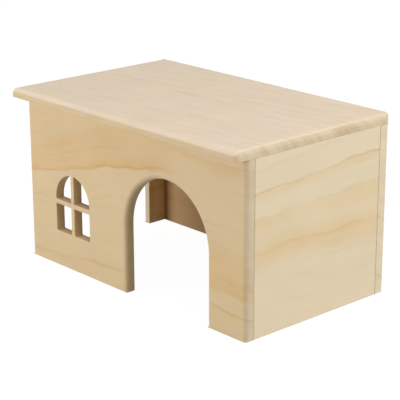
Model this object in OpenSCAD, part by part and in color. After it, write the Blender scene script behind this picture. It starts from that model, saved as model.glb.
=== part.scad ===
// Wooden house for a hamster, glued up from five boards on blind dowels.
// The floor is open. The front panel has an arched doorway and an arched
// window with a glazing cross, and the left panel has a wider doorway.
//
// Lengths are in millimetres. x runs from the left panel to the right panel,
// y from the front to the back, z up. The origin lies on the ground, under
// the middle of the house.

/* [Body] */
// Width of the body, across the front panel
body_w = 257; // [240:1:360]
// Depth of the body, from the front face to the back face
body_d = 148; // [144:1:240]
// Height of the walls, from the ground to the roof
wall_h = 136; // [128:1:200]
// Thickness of the four wall boards
wall_t = 8; // [7:0.5:12]
// Rounding of the front panel's two upright outer edges
front_edge_r = 4; // [1:0.5:5]

/* [Roof] */
// Thickness of the roof board
roof_t = 8; // [7:0.5:12]
// Reach of the roof past the front panel
roof_front = 10; // [0:0.5:25]
// Reach of the roof past the back panel
roof_back = 2.5; // [0:0.5:25]
// Reach of the roof past the left panel
roof_left = 5.5; // [0:0.5:25]
// Reach of the roof past the right panel
roof_right = 0; // [0:0.5:25]
// Rounding of the roof's top edge along the front and both sides; the back edge is square
roof_edge_r = 4.5; // [1:0.5:5]
// Rounding of the roof's two right-hand corners; the left-hand ones are square
roof_corner_r = 4; // [1:0.5:5]

/* [Front doorway] */
// Width between the jambs
door_w = 92; // [60:1:100]
// Height of the arch above the ground
door_h = 102; // [70:1:112]
// Middle of the doorway from the body's right end
door_from_right = 87; // [75:1:95]
// Rounding of the doorway's outer edge
door_edge_r = 4; // [1:0.5:5]

/* [Left doorway] */
// Width between the jambs
side_door_w = 96; // [60:1:98]
// Height of the arch above the ground
side_door_h = 104; // [70:1:112]
// Rounding of the doorway's outer edge
side_door_edge_r = 4; // [1:0.5:5]

/* [Window] */
// Width of the window
window_w = 43; // [34:1:50]
// Height of the window, from the sill to the top of the arch
window_h = 50; // [46:1:60]
// Height of the sill above the ground
sill_h = 30; // [15:1:40]
// Middle of the window from the body's left end
window_from_left = 57; // [45:1:60]
// Width of the glazing bars
bar_w = 4; // [3:0.5:6]
// Height of the two lower panes
lower_pane_h = 23; // [12:0.5:24]
// Radius left by the cutter in the corners of the panes
pane_corner_r = 1; // [0.5:0.25:1.5]

/* [Dowels] */
// Diameter of a dowel
dowel_d = 4; // [3:0.5:4.5]
// Length of a dowel
dowel_l = 16; // [14:0.5:16]
// Chamfer at the ends of a dowel
dowel_chamfer = 0.5; // [0.25:0.25:1]
// Depth of a dowel in the board whose face it enters
dowel_seat = 5; // [4:0.5:5.5]
// Clearance between a dowel and its bore, all round
dowel_fit = 0.05; // [0.02:0.01:0.1]
// Room for glue past the dowel's free end
glue_room = 0.5; // [0.2:0.1:1]
// Height of a corner's lower dowel above the ground, and of its upper one below the roof
corner_dowel_inset = 25; // [20:1:30]
// Spacing of the two roof dowels in the front panel, and of those in the back panel
long_dowel_pitch = 128; // [80:1:200]
// Spacing of the two roof dowels in each side panel
short_dowel_pitch = 74; // [50:1:90]

/* [Hidden] */
$fn = 96;

// Overrun of a cut past the surface that it opens
cut = 1;

// Middle of the whole house, roof included, measured from the body's front left corner
mid_x = (body_w + roof_right - roof_left) / 2;
mid_y = (body_d + roof_back - roof_front) / 2;

// Side panels fit between the front and back panels
side_panel_l = body_d - 2 * wall_t;

door_x = body_w - door_from_right;
window_arch_r = window_w / 2;
window_spring = window_h - window_arch_r;

// Middle lines of the wall boards
left_line = wall_t / 2;
right_line = body_w - wall_t / 2;
front_line = wall_t / 2;
back_line = body_d - wall_t / 2;

// Where the dowels bottom out, in the front and back panels and in the roof
front_seat = wall_t - dowel_seat;
back_seat = body_d - front_seat;
roof_seat = wall_h + dowel_seat;

// Directions in which a dowel leaves its seat
TO_BACK = [0, 1, 0];
TO_FRONT = [0, -1, 0];
DOWN = [0, 0, -1];

// A joint is the direction of its dowels and the point where each one bottoms out
corner_heights = [corner_dowel_inset, wall_h - corner_dowel_inset];
front_left = [TO_BACK, [for (z = corner_heights) [left_line, front_seat, z]]];
front_right = [TO_BACK, [for (z = corner_heights) [right_line, front_seat, z]]];
back_left = [TO_FRONT, [for (z = corner_heights) [left_line, back_seat, z]]];
back_right = [TO_FRONT, [for (z = corner_heights) [right_line, back_seat, z]]];

long_places = [for (side = [-1, 1]) (body_w + side * long_dowel_pitch) / 2];
short_places = [for (side = [-1, 1]) (body_d + side * short_dowel_pitch) / 2];
roof_to_front = [DOWN, [for (x = long_places) [x, front_line, roof_seat]]];
roof_to_back = [DOWN, [for (x = long_places) [x, back_line, roof_seat]]];
roof_to_left = [DOWN, [for (y = short_places) [left_line, y, roof_seat]]];
roof_to_right = [DOWN, [for (y = short_places) [right_line, y, roof_seat]]];

// Moves what is drawn from the body's front left corner to the house's own origin
module placed() {
    translate([-mid_x, -mid_y, 0]) children();
}

// Rectangle with round corners, its lower left corner at the origin
module round_rect(w, d, r) {
    translate([r, 0]) square([w - 2 * r, d]);
    translate([0, r]) square([w, d - 2 * r]);
    for (x = [r, w - r], y = [r, d - r])
        translate([x, y]) circle(r);
}

// Waste outside a quarter round: the board ends at x = 0 and y = 0, and lies to the left and below
module outer_waste(r) {
    difference() {
        translate([-r, -r]) square(r + cut);
        translate([-r, -r]) circle(r);
    }
}

// Waste at the edge of an opening: the board starts at x = edge and lies to the right, below y = 0
module opening_waste(edge, r) {
    difference() {
        translate([edge - cut, -r]) square(r + cut);
        translate([edge + r, -r]) circle(r);
    }
}

// Arched outline that stands on y = 0, its foot drawn out past the edge of the board
module arch(w, h) {
    translate([-w / 2, -cut]) square([w, h - w / 2 + cut]);
    translate([0, h - w / 2]) circle(w / 2);
}

// Cut for an arched doorway through a board that lies under z = 0, with a round edge at z = 0
module doorway_cut(w, h, r) {
    spring = h - w / 2;
    translate([0, 0, -wall_t - cut]) linear_extrude(wall_t + 2 * cut) arch(w, h);
    translate([0, spring, 0]) {
        rotate_extrude(angle = 180) opening_waste(w / 2, r);
        for (side = [0, 1])
            mirror([side, 0, 0])
                rotate([90, 0, 0]) linear_extrude(spring + cut) opening_waste(w / 2, r);
    }
}

// Square corner of a pane, to be filled back to the cutter's radius; it points to dx, dy
module pane_corner(x, y, dx, dy) {
    r = pane_corner_r;
    difference() {
        translate([x - (dx > 0 ? r : 0), y - (dy > 0 ? r : 0)]) square(r);
        translate([x - dx * r, y - dy * r]) circle(r);
    }
}

// Sharp corner of an upper pane where the arch runs into the upright bar
module pane_tip() {
    r = pane_corner_r;
    x = bar_w / 2 + r;
    reach = window_arch_r - r;
    rise = sqrt(reach * reach - x * x);
    outside = (window_arch_r + cut) / reach;
    difference() {
        translate([0, window_spring])
            polygon([[x, rise], [x * outside, rise * outside], [0, window_arch_r + cut], [0, rise]]);
        translate([x, window_spring + rise]) circle(r);
    }
}

// The two panes on the right of the upright bar; x = 0 is the middle and y = 0 the sill
module right_panes() {
    half = window_w / 2;
    pane_w = half - bar_w / 2;
    bar_top = lower_pane_h + bar_w;
    translate([bar_w / 2, 0]) round_rect(pane_w, lower_pane_h, pane_corner_r);
    difference() {
        intersection() {
            arch(window_w, window_h);
            translate([bar_w / 2, bar_top]) square([pane_w, window_h]);
        }
        pane_corner(bar_w / 2, bar_top, -1, -1);
        pane_corner(half, bar_top, 1, -1);
        pane_tip();
    }
}

module window_cut() {
    for (side = [0, 1])
        mirror([side, 0, 0])
            translate([0, 0, -wall_t - cut]) linear_extrude(wall_t + 2 * cut) right_panes();
}

// Turns what is drawn along z so that it points in a direction
module pointed(direction) {
    d = direction / norm(direction);
    rotate([0, acos(d.z), atan2(d.y, d.x)]) children();
}

// Bores of one joint, through both of its boards
module bores(joint) {
    for (place = joint[1])
        translate(place) pointed(joint[0])
            cylinder(d = dowel_d + 2 * dowel_fit, h = dowel_l + glue_room);
}

// Dowels of one joint, bottomed out in the board whose face they enter
module dowels(joint) {
    r = dowel_d / 2;
    neck = r - dowel_chamfer;
    for (place = joint[1])
        translate(place) pointed(joint[0])
            rotate_extrude()
                polygon([
                    [0, 0], [neck, 0], [r, dowel_chamfer],
                    [r, dowel_l - dowel_chamfer], [neck, dowel_l], [0, dowel_l]
                ]);
}

module roof() {
    w = body_w + roof_left + roof_right;
    d = body_d + roof_front + roof_back;
    // Each round edge: a point past its end, the way it turns, and its length. Each round corner: where, and which way.
    round_edges = [
        [[w, d + cut], 0, d + 2 * cut],
        [[w + cut, 0], -90, w + 2 * cut],
        [[0, -cut], 180, d + 2 * cut]
    ];
    color([0.87, 0.81, 0.72]) placed() difference() {
        translate([-roof_left, -roof_front, wall_h]) difference() {
            cube([w, d, roof_t]);
            for (edge = round_edges)
                translate([each edge[0], roof_t]) rotate([0, 0, edge[1]])
                    rotate([90, 0, 0]) linear_extrude(edge[2]) outer_waste(roof_edge_r);
            for (corner = [[d, 0], [0, -90]])
                translate([w, corner[0], -cut]) rotate([0, 0, corner[1]])
                    linear_extrude(roof_t + 2 * cut) outer_waste(roof_corner_r);
        }
        bores(roof_to_front);
        bores(roof_to_back);
        bores(roof_to_left);
        bores(roof_to_right);
    }
}

module front_panel() {
    r = front_edge_r;
    color([0.83, 0.74, 0.57]) placed() difference() {
        linear_extrude(wall_h) {
            translate([r, 0]) square([body_w - 2 * r, wall_t]);
            translate([0, r]) square([body_w, wall_t - r]);
            for (x = [r, body_w - r])
                translate([x, r]) circle(r);
        }
        translate([door_x, 0, 0]) rotate([90, 0, 0]) doorway_cut(door_w, door_h, door_edge_r);
        translate([window_from_left, 0, sill_h]) rotate([90, 0, 0]) window_cut();
        bores(front_left);
        bores(front_right);
        bores(roof_to_front);
    }
}

module back_panel() {
    color([0.8, 0.7, 0.54]) placed() difference() {
        translate([0, body_d - wall_t, 0]) cube([body_w, wall_t, wall_h]);
        bores(back_left);
        bores(back_right);
        bores(roof_to_back);
    }
}

module left_panel() {
    color([0.82, 0.72, 0.56]) placed() difference() {
        translate([0, wall_t, 0]) cube([wall_t, side_panel_l, wall_h]);
        translate([0, body_d / 2, 0]) rotate([90, 0, -90])
            doorway_cut(side_door_w, side_door_h, side_door_edge_r);
        bores(front_left);
        bores(back_left);
        bores(roof_to_left);
    }
}

module right_panel() {
    color([0.87, 0.8, 0.67]) placed() difference() {
        translate([body_w - wall_t, wall_t, 0]) cube([wall_t, side_panel_l, wall_h]);
        bores(front_right);
        bores(back_right);
        bores(roof_to_right);
    }
}

module joint_dowels(joint) {
    color([0.72, 0.55, 0.36]) placed() dowels(joint);
}

module front_left_dowels() joint_dowels(front_left);
module front_right_dowels() joint_dowels(front_right);
module back_left_dowels() joint_dowels(back_left);
module back_right_dowels() joint_dowels(back_right);
module roof_front_dowels() joint_dowels(roof_to_front);
module roof_back_dowels() joint_dowels(roof_to_back);
module roof_left_dowels() joint_dowels(roof_to_left);
module roof_right_dowels() joint_dowels(roof_to_right);

roof();
front_panel();
back_panel();
left_panel();
right_panel();
front_left_dowels();
front_right_dowels();
back_left_dowels();
back_right_dowels();
roof_front_dowels();
roof_back_dowels();
roof_left_dowels();
roof_right_dowels();
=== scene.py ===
"""Looks of the wooden hamster house: five bare pine boards pegged with beech dowels, on a white floor."""

import math

import bpy
from mathutils import Matrix, Vector


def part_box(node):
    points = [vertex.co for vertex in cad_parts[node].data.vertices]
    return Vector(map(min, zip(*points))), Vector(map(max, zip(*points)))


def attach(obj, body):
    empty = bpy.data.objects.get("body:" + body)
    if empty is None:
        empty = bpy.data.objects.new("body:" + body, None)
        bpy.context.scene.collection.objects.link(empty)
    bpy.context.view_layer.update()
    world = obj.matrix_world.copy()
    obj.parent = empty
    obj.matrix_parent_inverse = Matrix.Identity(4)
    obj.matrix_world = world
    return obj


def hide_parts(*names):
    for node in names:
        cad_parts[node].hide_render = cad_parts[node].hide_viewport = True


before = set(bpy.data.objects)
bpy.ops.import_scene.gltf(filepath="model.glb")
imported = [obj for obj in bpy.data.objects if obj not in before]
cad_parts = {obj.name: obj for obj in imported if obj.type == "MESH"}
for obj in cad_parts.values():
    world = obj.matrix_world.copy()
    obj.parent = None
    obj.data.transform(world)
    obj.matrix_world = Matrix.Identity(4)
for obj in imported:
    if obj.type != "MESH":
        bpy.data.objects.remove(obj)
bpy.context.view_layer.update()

MM = 0.001

# Sizes that the boards' boxes don't give
EASE = 0.35 * MM  # sanding of every sharp edge
ROOF_EDGE_R = 4.5 * MM  # the widest rounding
ROOF_CORNER_R, FRONT_EDGE_R, DOOR_EDGE_R = 4 * MM, 4 * MM, 4 * MM
DOOR_W, DOOR_H, DOOR_FROM_RIGHT = 92 * MM, 102 * MM, 87 * MM
SIDE_DOOR_W, SIDE_DOOR_H = 96 * MM, 104 * MM
WINDOW_W, WINDOW_H, SILL_H, WINDOW_FROM_LEFT = 43 * MM, 50 * MM, 30 * MM, 57 * MM
BAR_W, LOWER_PANE_H, PANE_CORNER_R = 4 * MM, 23 * MM, 1 * MM
DOWEL_CHAMFER, FLUTES, FLUTE_DEPTH = 0.5 * MM, 16, 0.12 * MM

# How finely round stretches are drawn, in steps
DOOR_ARC_STEPS, PANE_ARC_STEPS, PANE_CORNER_STEPS, EDGE_STEPS, DOWEL_SIDES = 96, 24, 4, 6, 64


# ---------------------------------------------------------------- node trees

class Value:
    """An output socket that can be reckoned with: each operator adds the Math node that works it out."""

    def __init__(self, nodes, socket):
        self.nodes = nodes
        self.socket = socket

    def __add__(self, other):
        return self.nodes.math("ADD", self, other)

    def __sub__(self, other):
        return self.nodes.math("SUBTRACT", self, other)

    def __mul__(self, other):
        return self.nodes.math("MULTIPLY", self, other)

    def __truediv__(self, other):
        return self.nodes.math("DIVIDE", self, other)

    def __pow__(self, other):
        return self.nodes.math("POWER", self, other)

    def __lt__(self, other):
        return self.nodes.math("LESS_THAN", self, other)

    def __gt__(self, other):
        return self.nodes.math("GREATER_THAN", self, other)

    def __abs__(self):
        return self.nodes.math("ABSOLUTE", self)

    def __rsub__(self, other):
        return self.nodes.math("SUBTRACT", other, self)

    __radd__ = __add__
    __rmul__ = __mul__


class Nodes:
    """One node tree, to which every node is added by the same method."""

    def __init__(self, tree):
        self.tree = tree

    def add(self, kind, settings=None, inputs=None, output=0):
        """Add a node: its settings first, then the value or link of each socket. Gives one of its outputs."""
        node = self.tree.nodes.new(kind)
        for name, value in (settings or {}).items():
            if name == "stops":
                set_stops(node.color_ramp, value)
            elif name == "items":
                for _ in range(value - len(node.index_switch_items)):
                    node.index_switch_items.new()
            else:
                setattr(node, name, value)
        for key, value in (inputs or {}).items():
            for one in value if isinstance(value, list) else [value]:
                if isinstance(one, Value):
                    self.tree.links.new(one.socket, node.inputs[key])
                else:
                    node.inputs[key].default_value = one
        return Value(self, node.outputs[output]) if node.outputs else None

    def math(self, operation, *values):
        return self.add("ShaderNodeMath", dict(operation=operation), dict(enumerate(values)))

    def vector(self, x=0, y=0, z=0):
        return self.add("ShaderNodeCombineXYZ", {}, {0: x, 1: y, 2: z})

    def parts(self, vector):
        """The three numbers of a vector."""
        split = self.add("ShaderNodeSeparateXYZ", {}, {0: vector}).socket.node
        return [Value(self, socket) for socket in split.outputs]

    def scaled(self, vector, factor):
        """A vector or a colour times a number."""
        return self.add("ShaderNodeVectorMath", dict(operation="SCALE"), {0: vector, "Scale": factor})

    def tinted(self, colour, tint):
        """Two colours multiplied, channel by channel."""
        return self.add("ShaderNodeVectorMath", dict(operation="MULTIPLY"), {0: colour, 1: tint})

    def ramp_up(self, value, low, high):
        """0 below low, 1 above high, and a soft step between."""
        inputs = {"Value": value, "From Min": low, "From Max": high}
        return self.add("ShaderNodeMapRange", dict(interpolation_type="SMOOTHSTEP"), inputs)

    def noise(self, *vector, detail=2, roughness=0.5):
        """Noise between about -0.5 and 0.5."""
        inputs = {"Vector": self.vector(*vector), "Scale": 1, "Detail": detail, "Roughness": roughness}
        return self.add("ShaderNodeTexNoise", dict(noise_dimensions="3D"), inputs) - 0.5

    def moved(self, geometry, offset):
        return self.add("GeometryNodeTransform", {}, {"Geometry": geometry, "Translation": offset})

    def joined(self, *geometries):
        return self.add("GeometryNodeJoinGeometry", {}, {0: list(geometries)})

    def switch(self, choice, if_true, if_false=None, kind="GEOMETRY"):
        inputs = {"Switch": choice, "True": if_true}
        if if_false:
            inputs["False"] = if_false
        return self.add("GeometryNodeSwitch", dict(input_type=kind), inputs)

    def rectangle(self, width, height, middle):
        """A closed line round a rectangle."""
        line = self.add("GeometryNodeCurvePrimitiveQuadrilateral", {}, {"Width": width, "Height": height})
        return self.moved(line, middle)


def set_stops(ramp, stops):
    """Give a colour ramp its stops, each a position and a colour, with a soft change between them."""
    ramp.interpolation = "EASE"
    while len(ramp.elements) > 1:
        ramp.elements.remove(ramp.elements[-1])
    for i, (at, colour) in enumerate(stops):
        stop = ramp.elements[0] if i == 0 else ramp.elements.new(at)
        stop.position = at
        stop.color = (*colour, 1)


def geometry_tree(name, sizes):
    """An empty Geometry Nodes tree, with a named input for each size, and those inputs by name."""
    tree = bpy.data.node_groups.new(name, "GeometryNodeTree")
    tree.interface.new_socket("Geometry", in_out="OUTPUT", socket_type="NodeSocketGeometry")
    for size, kind in sizes.items():
        tree.interface.new_socket(size, in_out="INPUT", socket_type="NodeSocket" + kind)
    nodes = Nodes(tree)
    source = tree.nodes.new("NodeGroupInput")
    return nodes, {size: Value(nodes, source.outputs[size]) for size in sizes}


def finish_tree(nodes, geometry):
    """Make what is instanced real, give it the material that is asked for, and send it out."""
    real = nodes.add("GeometryNodeRealizeInstances", {}, {0: geometry})
    material = Value(nodes, nodes.tree.nodes["Group Input"].outputs["Material"])
    shown = nodes.add("GeometryNodeSetMaterial", {}, {"Geometry": real, "Material": material})
    nodes.tree.links.new(shown.socket, nodes.tree.nodes.new("NodeGroupOutput").inputs[0])


def grow(name, nodes, values, *finishing):
    """Make a piece with a tree and the modifiers that finish it, and keep the result as a plain mesh."""
    seed = bpy.data.objects.new(name + ".seed", bpy.data.meshes.new(name + ".seed"))
    bpy.context.scene.collection.objects.link(seed)
    modifier = seed.modifiers.new("Shape", "NODES")
    modifier.node_group = nodes.tree
    for item in nodes.tree.interface.items_tree:
        if item.in_out == "INPUT":
            modifier[item.identifier] = values[item.name]
    for kind, settings in finishing:
        extra = seed.modifiers.new(kind, kind)
        for key, value in settings.items():
            setattr(extra, key, value)
    evaluated = seed.evaluated_get(bpy.context.evaluated_depsgraph_get())
    mesh = bpy.data.meshes.new_from_object(evaluated)
    mesh.name = name
    bpy.data.objects.remove(seed)
    piece = bpy.data.objects.new(name, mesh)
    bpy.context.scene.collection.objects.link(piece)
    return piece


# ---------------------------------------------------------------- camera, light and floor

CAMERA_AT = (0.8063, -0.7284, 0.4124)
CAMERA_YAW, CAMERA_PITCH, CAMERA_ROLL = math.radians(47.69), math.radians(17.90), math.radians(-0.13)
HOUSE_MIDDLE = Vector((0, 0, 0.07))
SKY_FILL = 0.2  # strength of the light from all round
FLOOR_REACH = 6
FLOOR_GLOW = 0.97  # what the camera sees of the floor without a shadow, 1 being white
PAPER_GREY, SHADOW_GREY = (0.5, 0.5, 0.5, 1), (0.09, 0.09, 0.09, 1)
WHITE = (1, 1, 1, 1)

camera = bpy.data.objects.new("camera", bpy.data.cameras.new("camera"))
camera.data.sensor_width = 36
camera.data.lens = 128.6
camera.matrix_world = (
    Matrix.Translation(CAMERA_AT)
    @ Matrix.Rotation(CAMERA_YAW, 4, "Z")
    @ Matrix.Rotation(math.pi / 2 - CAMERA_PITCH, 4, "X")
    @ Matrix.Rotation(CAMERA_ROLL, 4, "Z")
)
bpy.context.scene.collection.objects.link(camera)
bpy.context.scene.camera = camera
bpy.context.scene.view_settings.view_transform = "Standard"


def softbox(name, at, size, watts):
    """A square lamp that looks at the middle of the house."""
    lamp = bpy.data.lights.new(name, "AREA")
    lamp.shape, lamp.size, lamp.energy = "SQUARE", size, watts
    piece = bpy.data.objects.new(name, lamp)
    piece.location = at
    piece.rotation_euler = (HOUSE_MIDDLE - Vector(at)).to_track_quat("-Z", "Y").to_euler()
    bpy.context.scene.collection.objects.link(piece)


softbox("front_light", at=(-0.75, -1.38, 0.25), size=0.9, watts=18.4)
softbox("side_light", at=(1.52, 0.5, 0.5), size=1.0, watts=10.9)
softbox("top_light", at=(0.6, 0.0, 1.4), size=1.1, watts=12.8)


def camera_sees(nodes):
    """1 for what the camera sees, straight or by way of gloss or glass."""
    rays = ("Is Camera Ray", "Is Glossy Ray", "Is Transmission Ray")
    return nodes.math("MINIMUM", sum(nodes.add("ShaderNodeLightPath", output=ray) for ray in rays), 1)


world = bpy.data.worlds.new("studio")
bpy.context.scene.world = world
world.use_nodes = True
world.node_tree.nodes.clear()
sky = Nodes(world.node_tree)
strength = camera_sees(sky) * (1 - SKY_FILL) + SKY_FILL
background = sky.add("ShaderNodeBackground", {}, {"Color": WHITE, "Strength": strength})
sky.add("ShaderNodeOutputWorld", {}, {"Surface": background})


def new_material(name):
    material = bpy.data.materials.new(name)
    material.use_nodes = True
    material.node_tree.nodes.clear()
    return material, Nodes(material.node_tree)


def floor_paper():
    """Grey paper for the light that falls on the house, and for the camera white with the house's shadow."""
    material, nodes = new_material("floor_white")
    paper = nodes.add("ShaderNodeBsdfDiffuse", {}, {"Color": PAPER_GREY})
    shadow = nodes.add("ShaderNodeBsdfDiffuse", {}, {"Color": SHADOW_GREY})
    glow = nodes.add("ShaderNodeEmission", {}, {"Color": WHITE, "Strength": FLOOR_GLOW})
    seen = nodes.add("ShaderNodeAddShader", {}, {0: shadow, 1: glow})
    either = nodes.add("ShaderNodeMixShader", {}, {0: camera_sees(nodes), 1: paper, 2: seen})
    nodes.add("ShaderNodeOutputMaterial", {}, {"Surface": either})
    return material


floor_mesh = bpy.data.meshes.new("floor")
floor_corners = [(x * FLOOR_REACH, y * FLOOR_REACH, 0) for x, y in ((-1, -1), (1, -1), (1, 1), (-1, 1))]
floor_mesh.from_pydata(floor_corners, [], [(0, 1, 2, 3)])
floor_mesh.materials.append(floor_paper())
floor = bpy.data.objects.new("floor", floor_mesh)
bpy.context.scene.collection.objects.link(floor)


# ---------------------------------------------------------------- pine

# Lengths in the wood are in millimetres. These are where the front, the left side, the right side, the back
# and the top of the house lie, and how thick a board is.
left, front = (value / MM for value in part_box("front_panel")[0][:2])
right, back, _ = (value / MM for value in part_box("back_panel")[1])
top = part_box("roof")[1][2] / MM
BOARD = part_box("front_panel")[1][1] / MM - front

LEVELS = (-30, 190)  # the levels that a board's marked rings lie between
RING_BELOW, RING_ABOVE = 1.5, 1  # how far a thin ring fades out below and above its level
WANDER, RAGGED = 8, 4  # the widest swing of a ring about its sheet, in long waves and in short ones
HANDOVER = 20  # half the stretch over which a board's near marks give way to its far ones
SAWN_REACH = 5  # how far in from a board's end its sawn tone may lie
WARM = (0.02, 0.12, 0.26)  # what a warm band takes from red, green and blue
DARK = (0.12, 0.17, 0.23)  # what a dark ring takes
FAINT_RINGS, FIBRES, CLOUDS = 0.02, 0.05, 0.06  # how strongly each shades the wood
SEAM_W, SEAM_SHADE_AND_GLUE = 0.7, 0.2  # the dark line along a glued joint: painted shade of the joint's gap, with its glue
BUMP, PINE_RELIEF, BEECH_RELIEF = 0.3, 0.15 * MM, 0.05 * MM
PINE_IOR, BEECH_IOR = 1.45, 1.5
BEECH_COLOUR = (0.5, 0.3, 0.15)
HIDDEN_INSIDE_SHADE = (0.60, 0.42, 0.21)  # painted shade of the inside face, for the boards whose inside lies hidden


def marks(nodes, level, profile):
    """How strongly a board is marked at a level, by a profile of levels and strengths."""
    low, high = LEVELS
    stops = [((at - low) / (high - low), (strength, strength, strength)) for at, strength in profile]
    return nodes.add("ShaderNodeValToRGB", dict(stops=stops), {0: (level - low) / (high - low)})


def thin_rings(rings):
    """The profile of thin rings, each with its level and strength."""
    return [
        stop for at, strength in rings
        for stop in ((at - RING_BELOW, 0), (at, strength), (at + RING_ABOVE, 0))
    ]


def finish_wood(nodes, colour, roughness, height, relief, ior):
    """The shader of bare wood, with its relief, as the material's output."""
    bump = nodes.add("ShaderNodeBump", {}, {"Strength": BUMP, "Distance": relief, "Height": height})
    inputs = {"Base Color": colour, "Roughness": roughness, "Normal": bump, "IOR": ior}
    shader = nodes.add("ShaderNodeBsdfPrincipled", {}, inputs)
    nodes.add("ShaderNodeOutputMaterial", {}, {"Surface": shader})


def pine(
    name, grain, across, through, slope, fan, spread, lean, seed, streaky, tones, near, far=None, seam=0,
):
    """Bare sanded pine.

    grain, across and through are a board's three axes, each with where it starts, and grain also with where
    it ends. A growth ring is a sheet along the grain. Its level is the height at which it meets the board's
    start. From there it rises by slope, and by fan more for each millimetre up, until it levels out at spread.
    lean tilts it through the thickness. near gives the marks as far as the place in far, and far the marks
    past it: each is the broad warm bands' profile and the dark rings. streaky is how strong soft streaks are,
    and seed sets one board's noise apart from another's. tones are the colours of the show face, of the long
    edges, of the ends and of the inside face; the long edges' colour holds painted light, for how the light
    falls on them, and the inside face's colour is painted shade of the inside of the house. seam is how far in
    from the house's front and back the dark line of a glued joint reaches, on a board between those two: the
    line is painted shade of the joint's gap, with its glue.
    """
    material, nodes = new_material(name)
    place = nodes.add("ShaderNodeTexCoord", output="Object")
    axes = nodes.parts(nodes.scaled(place, 1 / MM))
    along, side, deep = (axes[axis] - start for axis, start, *_ in (grain, across, through))
    half = (grain[2] - grain[1]) / 2
    from_middle = abs(along - half)

    # The show face, its other side, which is the inside, and the sawn ends
    normal = nodes.parts(nodes.add("ShaderNodeTexCoord", output="Normal"))
    show = nodes.ramp_up(abs(normal[through[0]]), 0.15, 0.5)
    inside = nodes.ramp_up(abs(deep), BOARD - 0.4, BOARD - 0.1) * show
    end = nodes.ramp_up(abs(normal[grain[0]]), 0.45, 0.85) * (from_middle > half - SAWN_REACH)

    # How high the ring through this point meets the board's start
    wander = nodes.noise(along / 60 + seed, side / 45, deep / 60) * WANDER
    run = nodes.add("ShaderNodeMapRange", dict(interpolation_type="SMOOTHSTEP"), {
        "Value": along, "From Min": -spread, "From Max": spread,
        "To Min": -spread * 0.75, "To Max": spread * 0.75,
    })
    level = side - run * (slope + fan * side) + deep * lean + wander

    # The marked rings, each clearer in some stretches than in others
    clear = nodes.ramp_up(nodes.noise(along / 45, level / 20 + seed, 0), -0.2, 0.15)
    ragged = level + nodes.noise(along / 18, level / 6, seed) * RAGGED
    warm, dark = marks(nodes, ragged, near[0]), marks(nodes, ragged, thin_rings(near[1]))
    if far:
        past = nodes.ramp_up(along, far[0] - HANDOVER, far[0] + HANDOVER)
        warm = warm * (1 - past) + marks(nodes, ragged, far[1]) * past
        dark = dark * (1 - past) + marks(nodes, ragged, thin_rings(far[2])) * past
    warm = warm * (clear * 0.4 + 0.6 - end * 0.5)
    dark = dark * (clear * 0.7 + 0.3)
    stain = nodes.vector(*(1 - warm * less - dark * least for less, least in zip(WARM, DARK)))

    # Fainter rings between them, fibres, soft streaks and slow drifts of colour
    grown = level / 9 + nodes.noise(level / 12 + seed, along / 160, 0, detail=1) * 2
    wave = nodes.math("FRACT", grown) ** 3
    fibre = nodes.noise(along / 28, (side - run * slope) * 1.4, deep * 1.4, detail=3, roughness=0.6)
    streak = nodes.noise(along / 32, level / 4.5, deep / 6) * (clear * 0.7 + 0.5)
    cloud = nodes.noise(along / 45 + seed, side / 22, deep / 50, detail=1)
    shade = 1 - wave * clear * FAINT_RINGS + fibre * FIBRES + streak * streaky + cloud * CLOUDS
    hue = nodes.noise(along / 50, level / 7, seed) * (0.1 + streaky * 0.8)

    # Sawn ends are speckled, and show some rings as soft brown stripes
    stripe = end * nodes.ramp_up(nodes.noise(level / 11 + seed, side / 60, 0), -0.08, 0.15) * streaky * 0.5
    speckle = nodes.noise(along / 2, side * 1.1, deep * 1.1, detail=3, roughness=0.7)
    shade = shade * (1 + end * speckle * 0.2 - stripe)
    tint = nodes.vector(1, 1 + hue * 0.2 - stripe * 0.5, 1 - hue * 0.8 - stripe)

    # A dark line beside a joint: painted shade of the joint's gap, with its glue
    if seam:
        shade = shade * (1 - (from_middle > half - seam) * (1 - inside) * SEAM_SHADE_AND_GLUE)

    # The long edges' tone holds painted light for how the light falls on them, and the inside tone is painted
    # shade, with warm bounced light, of the inside of the house
    face, edge, sawn, inside_shade = ((*tone, 1) for tone in tones)
    base = edge
    for share, tone in ((show, face), (end, sawn), (inside, inside_shade)):
        mixed = {"Factor": share, 6: base, 7: tone}
        base = nodes.add("ShaderNodeMix", dict(data_type="RGBA"), mixed, output=2)
    colour = nodes.tinted(nodes.scaled(nodes.tinted(stain, tint), shade), base)
    roughness = 0.6 + fibre * 0.15 + end * 0.15
    finish_wood(nodes, colour, roughness, fibre * 0.6 + streak * 0.4, PINE_RELIEF, PINE_IOR)
    return material


def beech_wood(name, grain):
    """Beech for the dowels: plain, with short dark flecks along the grain, which is one of the three axes."""
    material, nodes = new_material(name)
    place = nodes.add("ShaderNodeTexCoord", output="Object")
    axes = nodes.parts(nodes.scaled(place, 1 / MM))
    along = axes.pop(grain)
    fleck = nodes.ramp_up(nodes.noise(along * 0.7, axes[0] * 4, axes[1] * 4, detail=1), 0.1, 0.2)
    fibre = nodes.noise(along / 8, axes[0] * 3, axes[1] * 3)
    shade = 1 - fleck * 0.25 + fibre * 0.2
    colour = nodes.tinted(nodes.vector(shade, shade, shade), BEECH_COLOUR)
    finish_wood(nodes, colour, 0.55 + fibre * 0.2, fibre, BEECH_RELIEF, BEECH_IOR)
    return material


# The show faces' tones are partly the wood's own and partly painted light: the roof and right side paler and
# bluer, the front more golden, as lit from where each faces. Each board's long-edge tone is lighter or darker
# than its show face as painted light, and the inside tones are painted shade
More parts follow.
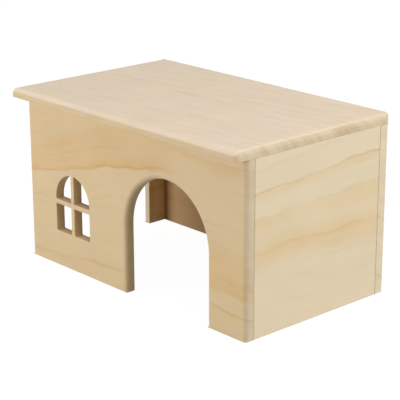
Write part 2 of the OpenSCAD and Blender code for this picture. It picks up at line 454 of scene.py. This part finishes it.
front_pine = pine(
    "front_pine", grain=(0, left, right), across=(2, 0), through=(1, front),
    slope=0.05, fan=0.002, spread=180, lean=0.3, seed=1, streaky=0.11,
    tones=((0.745, 0.565, 0.323), (0.82, 0.60, 0.34), (0.69, 0.565, 0.39), HIDDEN_INSIDE_SHADE),
    near=(
        (
            (2, 0), (7, 0.4), (8.5, 0), (71, 0), (73.5, 1.3),
            (78, 0.9), (84, 0.7), (92, 0.9), (103, 0.3), (140, 0.1),
        ),
        ((7.5, 0.8), (28, 0.4), (47, 0.6), (53, 0.6), (73, 1), (85, 0.3)),
    ),
    far=(
        170,
        (
            (2, 0), (7, 0.5), (8.5, 0), (16, 0), (18, 1.2), (24, 0.7), (36, 0.8),
            (43, 0.3), (47, 0), (80, 0), (86, 0.5), (89, 0.1), (140, 0.1),
        ),
        ((7.5, 0.9), (24, 0.4), (42, 0.5), (47, 0.4), (53, 0.5), (87, 0.3)),
    ),
)
side_pine = pine(
    "side_pine", grain=(1, front, back), across=(2, 0), through=(0, right),
    slope=-0.15, fan=0.002, spread=150, lean=0.4, seed=2, streaky=0.05, seam=BOARD + SEAM_W,
    tones=((0.795, 0.668, 0.46), (0.74, 0.57, 0.34), (0.74, 0.57, 0.34), HIDDEN_INSIDE_SHADE),
    near=(
        (
            (52, 0), (60, 0.8), (66, 1.25), (71, 0.7), (78, 0.35),
            (88, 0.8), (92, 0), (99, 0), (107, 0.8), (110, 0),
        ),
        ((53, 0.3), (67, 0.4), (90.5, 0.5), (108, 1), (124, 0.3)),
    ),
)
left_pine = pine(
    "left_pine", grain=(1, front, back), across=(2, 0), through=(0, left),
    slope=0.08, fan=0.001, spread=170, lean=0.3, seed=5, streaky=0.07, seam=BOARD + SEAM_W,
    tones=((0.77, 0.61, 0.39), (0.80, 0.66, 0.45), (0.78, 0.62, 0.40), (0.98, 0.72, 0.38)),
    near=(
        ((15, 0), (22, 0.5), (23, 0), (50, 0), (59, 0.9), (61, 0), (99, 0), (101, 0.7), (111, 0)),
        ((22, 0.6), (41, 0.5), (60, 0.8), (79, 0.5), (101, 0.7), (117, 0.4)),
    ),
)
roof_pine = pine(
    "roof_pine", grain=(0, left, right), across=(1, front), through=(2, top),
    slope=0.12, fan=0.0, spread=400, lean=0.78, seed=3, streaky=0.22,
    tones=((0.805, 0.66, 0.495), (0.70, 0.535, 0.315), (0.69, 0.57, 0.39), HIDDEN_INSIDE_SHADE),
    near=(
        (
            (6, 0), (12, 0.2), (14, 0), (58, 0), (64, 0.3), (66, 0), (72, 0), (78, 0.35),
            (80, 0), (87, 0), (92, 0.3), (94, 0), (108, 0), (114, 0.2), (116, 0),
        ),
        ((-14, 0.3), (12, 0.2), (34, 0.2), (64, 0.25), (78, 0.3), (92, 0.2), (114, 0.2), (132, 0.2)),
    ),
)
back_pine = pine(
    "back_pine", grain=(0, left, right), across=(2, 0), through=(1, back),
    slope=-0.04, fan=0.001, spread=180, lean=0.5, seed=4, streaky=0.09,
    tones=((0.72, 0.55, 0.33), (0.74, 0.58, 0.36), (0.80, 0.68, 0.48), (0.54, 0.325, 0.135)),
    near=(
        (
            (17, 0), (18, 0.5), (25, 0), (49, 0), (57, 0.7), (59, 0),
            (76, 0), (82, 0.6), (84, 0), (124, 0), (127, 0.4), (133, 0),
        ),
        ((18, 0.5), (39, 0.5), (58, 0.7), (83, 0.6), (104, 0.5), (126, 0.4)),
    ),
)
beech = {1: beech_wood("beech_across", 1), 2: beech_wood("beech_upright", 2)}


# ---------------------------------------------------------------- boards

TOUCH = 1e-5  # a point this close to an edge lies on it
MERGE = 1e-6  # points this close become one
SHARP = 0.5  # the angle between two faces, in radians, past which their edge is rounded
RECTANGLE_POINTS = 4


def arch_line(nodes, steps, middle, spring, radius, first, last, corners):
    """A closed line: an arc from one angle to another in so many steps, then straight through the corners."""
    index = nodes.add("GeometryNodeInputIndex")
    turn = first + (last - first) * nodes.math("MINIMUM", index / steps, 1)
    across = middle + radius * nodes.math("COSINE", turn)
    over = nodes.vector(across, spring + radius * nodes.math("SINE", turn))
    places = {str(i): nodes.vector(*corner) for i, corner in enumerate(corners)}
    rest = nodes.add(
        "GeometryNodeIndexSwitch", dict(data_type="VECTOR", items=len(corners)),
        {"Index": index - (steps + 1), **places},
    )
    where = nodes.switch(index > steps, rest, over, kind="VECTOR")
    points = nodes.add("GeometryNodePoints", {}, {"Count": steps + 1 + len(corners), "Position": where})
    line = nodes.add("GeometryNodePointsToCurves", {}, {"Points": points})
    return nodes.add("GeometryNodeSetSplineCyclic", {}, {"Geometry": line, "Cyclic": True})


def window_panes(nodes, size):
    """The closed lines round the four panes: the two on the right, and the same two mirrored."""
    near, far = size["Bar Width"] / 2, size["Window Width"] / 2
    pane_height = size["Lower Pane Height"]
    foot = pane_height + size["Bar Width"]
    lower = nodes.rectangle(far - near, pane_height, nodes.vector((near + far) / 2, pane_height / 2))
    upper = arch_line(
        nodes, PANE_ARC_STEPS, 0, size["Window Height"] - far, far, 0, nodes.math("ARCCOSINE", near / far),
        [(near, foot), (far, foot)],
    )
    panes = nodes.joined(lower, upper)

    # All corners of the lower pane are rounded, and those of the upper one from the arc's end on
    index = nodes.add("GeometryNodeInputIndex")
    corner = (index < RECTANGLE_POINTS) + (index > RECTANGLE_POINTS + PANE_ARC_STEPS - 1)
    panes = nodes.add("GeometryNodeFilletCurve", dict(mode="POLY"), {
        "Curve": panes, "Count": PANE_CORNER_STEPS, "Radius": size["Pane Corner Radius"] * corner,
        "Limit Radius": True,
    })
    mirrored = nodes.add("GeometryNodeTransform", {}, {"Geometry": panes, "Scale": (-1, 1, 1)})
    place = nodes.vector(size["Window Middle"], size["Sill Height"])
    return nodes.moved(nodes.joined(panes, mirrored), place)


def board_tree():
    """A board that lies with its show face up, with a doorway and a window where it has them.

    The lower left corner of its show face is at the origin. A doorway is a slot from the lower edge with a
    half circle over it. The window has the same shape, with a sill under it and a cross of bars left in it,
    which leaves four panes with slightly round corners.
    """
    nodes, size = geometry_tree("board", {
        "Width": "Float", "Height": "Float", "Thickness": "Float",
        "Doorway Width": "Float", "Doorway Height": "Float", "Doorway Middle": "Float",
        "Doorway Rounding": "Float",
        "Window Width": "Float", "Window Height": "Float", "Window Middle": "Float", "Sill Height": "Float",
        "Bar Width": "Float", "Lower Pane Height": "Float", "Pane Corner Radius": "Float",
        "Side Rounding": "Float", "Foot Rounding": "Float", "Corner Rounding": "Float", "Ease": "Float",
        "Material": "Material",
    })
    width, height, thickness = size["Width"], size["Height"], size["Thickness"]
    middle, reach = size["Doorway Middle"], size["Doorway Width"] / 2

    # The outline, with the doorway's slot or plain
    slotted = arch_line(
        nodes, DOOR_ARC_STEPS, middle, size["Doorway Height"] - reach, reach, math.pi, 0,
        [(middle + reach, 0), (width, 0), (width, height), (0, height), (0, 0), (middle - reach, 0)],
    )
    plain = nodes.rectangle(width, height, nodes.vector(width / 2, height / 2))
    outline = nodes.switch(size["Doorway Width"] > 0, slotted, plain)
    panes = nodes.switch(size["Window Width"] > 0, window_panes(nodes, size))

    # Both faces and the edge between them
    face = nodes.add("GeometryNodeFillCurve", dict(mode="NGONS"), {"Curve": nodes.joined(outline, panes)})
    face = nodes.moved(face, nodes.vector(0, 0, thickness * -1))
    sides = nodes.add("GeometryNodeExtrudeMesh", {}, {
        "Mesh": face, "Offset": (0, 0, 1), "Offset Scale": thickness, "Individual": False,
    })
    under = nodes.add("GeometryNodeFlipFaces", {}, {"Mesh": face})
    solid = nodes.joined(sides, under)
    solid = nodes.add("GeometryNodeMergeByDistance", {}, {"Geometry": solid, "Distance": MERGE})

    # How wide each edge is rounded, as a share of the widest rounding
    x, y, z = nodes.parts(nodes.add("GeometryNodeInputPosition"))
    at_side = abs(x - width / 2) > width / 2 - TOUCH
    at_foot = y < TOUCH
    in_doorway = (abs(x - middle) < reach + TOUCH) * (y < size["Doorway Height"] + TOUCH)
    rim = at_side * size["Side Rounding"] + at_foot * size["Foot Rounding"]
    rim = (z > -TOUCH) * (rim + in_doorway * size["Doorway Rounding"])
    right_corner = (abs(z + thickness / 2) < TOUCH) * (x > width - TOUCH)
    rounding = nodes.math("MAXIMUM", size["Ease"], rim + right_corner * size["Corner Rounding"])
    solid = nodes.add("GeometryNodeStoreNamedAttribute", dict(data_type="FLOAT", domain="EDGE"), {
        "Geometry": solid, "Selection": nodes.add("GeometryNodeInputMeshEdgeAngle") > SHARP,
        "Name": "bevel_weight_edge", "Value": rounding / ROOF_EDGE_R,
    })
    solid = nodes.add("GeometryNodeSetShadeSmooth", {}, {"Geometry": solid, "Shade Smooth": True})
    finish_tree(nodes, solid)
    return nodes


board_shape = board_tree()


def board(name, node, face, slot, material, **sizes):
    """A board with rounded edges in place of a CAD node, its show face turned the way that face says."""
    low, high = (Vector(corner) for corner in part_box(node))
    up = Vector((0, 1, 0)) if face.z else Vector((0, 0, 1))
    along = up.cross(face)
    span = high - low
    # The lower left corner of the show face
    corner = [high[i] if face[i] > 0 or along[i] < 0 else low[i] for i in range(3)]
    values = {item.name: 0.0 for item in board_shape.tree.interface.items_tree if item.in_out == "INPUT"}
    values |= {
        "Width": abs(span.dot(along)), "Height": abs(span.dot(up)), "Thickness": abs(span.dot(face)),
        "Ease": EASE, "Material": material,
    }
    values |= {key.replace("_", " "): value for key, value in sizes.items()}
    rounded = ("BEVEL", dict(
        width=ROOF_EDGE_R, segments=EDGE_STEPS, limit_method="WEIGHT",
        loop_slide=False, use_clamp_overlap=False,
    ))
    shaded = ("WEIGHTED_NORMAL", dict(weight=100, keep_sharp=False))
    piece = grow(name, board_shape, values, rounded, shaded)
    turn = Matrix((along, up, face)).transposed().to_4x4()
    piece.data.transform(Matrix.Translation(corner) @ turn)
    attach(piece, "root")
    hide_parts(node)


FRONT, BACK = Vector((0, -1, 0)), Vector((0, 1, 0))
LEFT, RIGHT, TOP = Vector((-1, 0, 0)), Vector((1, 0, 0)), Vector((0, 0, 1))

front_low, front_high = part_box("front_panel")
_, left_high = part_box("left_panel")
_, back_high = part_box("back_panel")
board(
    "front_board", "front_panel", FRONT, "front_board", front_pine,
    Side_Rounding=FRONT_EDGE_R,
    Doorway_Width=DOOR_W, Doorway_Height=DOOR_H, Doorway_Rounding=DOOR_EDGE_R,
    Doorway_Middle=front_high[0] - front_low[0] - DOOR_FROM_RIGHT,
    Window_Width=WINDOW_W, Window_Height=WINDOW_H, Window_Middle=WINDOW_FROM_LEFT, Sill_Height=SILL_H,
    Bar_Width=BAR_W, Lower_Pane_Height=LOWER_PANE_H, Pane_Corner_Radius=PANE_CORNER_R,
)
board(
    "left_board", "left_panel", LEFT, "side_board", left_pine,
    Doorway_Width=SIDE_DOOR_W, Doorway_Height=SIDE_DOOR_H, Doorway_Rounding=DOOR_EDGE_R,
    Doorway_Middle=left_high[1] - (front_low[1] + back_high[1]) / 2,
)
board("right_board", "right_panel", RIGHT, "side_board", side_pine)
board("back_board", "back_panel", BACK, "back_board", back_pine)
board(
    "roof_board", "roof", TOP, "roof_board", roof_pine,
    Side_Rounding=ROOF_EDGE_R, Foot_Rounding=ROOF_EDGE_R, Corner_Rounding=ROOF_CORNER_R,
)


# ---------------------------------------------------------------- dowels

def dowel_tree():
    """Two fluted dowels side by side, with chamfered ends."""
    nodes, size = geometry_tree("dowels", {
        "First": "Vector", "Second": "Vector", "Direction": "Vector", "Diameter": "Float", "Length": "Float",
        "Chamfer": "Float", "Flutes": "Int", "Flute Depth": "Float", "Material": "Material",
    })
    length, chamfer, radius = size["Length"], size["Chamfer"], size["Diameter"] / 2
    index = nodes.add("GeometryNodeInputIndex")
    height = nodes.add(
        "GeometryNodeIndexSwitch", dict(data_type="FLOAT", items=4),
        {"Index": index, "0": 0.0, "1": chamfer, "2": length - chamfer, "3": length},
    )
    points = nodes.add("GeometryNodePoints", {}, {"Count": 4, "Position": nodes.vector(0, 0, height)})
    axis = nodes.add("GeometryNodePointsToCurves", {}, {"Points": points})

    # The round section, drawn in at its flutes, and scaled down at the two end points by the chamfer
    circle = nodes.add("GeometryNodeCurvePrimitiveCircle", {}, {"Resolution": DOWEL_SIDES, "Radius": radius})
    spot = nodes.add("GeometryNodeInputPosition")
    x, y, _ = nodes.parts(spot)
    flute = 0.5 - 0.5 * nodes.math("COSINE", nodes.math("ARCTAN2", y, x) * size["Flutes"])
    drawn_in = nodes.scaled(spot, 1 - flute * size["Flute Depth"] / radius)
    section = nodes.add("GeometryNodeSetPosition", {}, {"Geometry": circle, "Position": drawn_in})
    at_end = abs(index - 1.5) > 1
    peg = nodes.add("GeometryNodeCurveToMesh", {}, {
        "Curve": axis, "Profile Curve": section, "Scale": 1 - at_end * chamfer / radius, "Fill Caps": True,
    })

    places = nodes.add("GeometryNodeMeshLine", dict(mode="END_POINTS"), {
        "Count": 2, "Start Location": size["First"], "Offset": size["Second"],
    })
    aim = nodes.add("FunctionNodeAlignRotationToVector", dict(axis="Z"), {"Vector": size["Direction"]})
    pair = nodes.add("GeometryNodeInstanceOnPoints", {}, {"Points": places, "Instance": peg, "Rotation": aim})
    finish_tree(nodes, pair)
    return nodes


dowel_shape = dowel_tree()


def dowels(name, node):
    """The two dowels of a joint.

    The box round them is as narrow as a dowel is thick, as deep as it is long, and as wide as the pair.
    """
    low, high = (Vector(corner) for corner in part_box(node))
    span = high - low
    narrow, deep, wide = sorted(range(3), key=lambda i: span[i])
    middle = (low + high) / 2
    first, second, direction = middle.copy(), middle.copy(), Vector((0, 0, 0))
    radius = span[narrow] / 2
    first[wide], second[wide] = low[wide] + radius, high[wide] - radius
    first[deep] = second[deep] = low[deep]
    direction[deep] = 1
    piece = grow(name, dowel_shape, {
        "First": first, "Second": second, "Direction": direction,
        "Diameter": span[narrow], "Length": span[deep], "Chamfer": DOWEL_CHAMFER,
        "Flutes": FLUTES, "Flute Depth": FLUTE_DEPTH, "Material": beech[deep],
    })
    piece.data.shade_smooth()
    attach(piece, "root")
    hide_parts(node)


for wall in ("front", "back"):
    for side in ("left", "right"):
        dowels(f"{wall}_{side}_pegs", f"{wall}_{side}_dowels")
for wall in ("front", "back", "left", "right"):
    dowels(f"roof_{wall}_pegs", f"roof_{wall}_dowels")
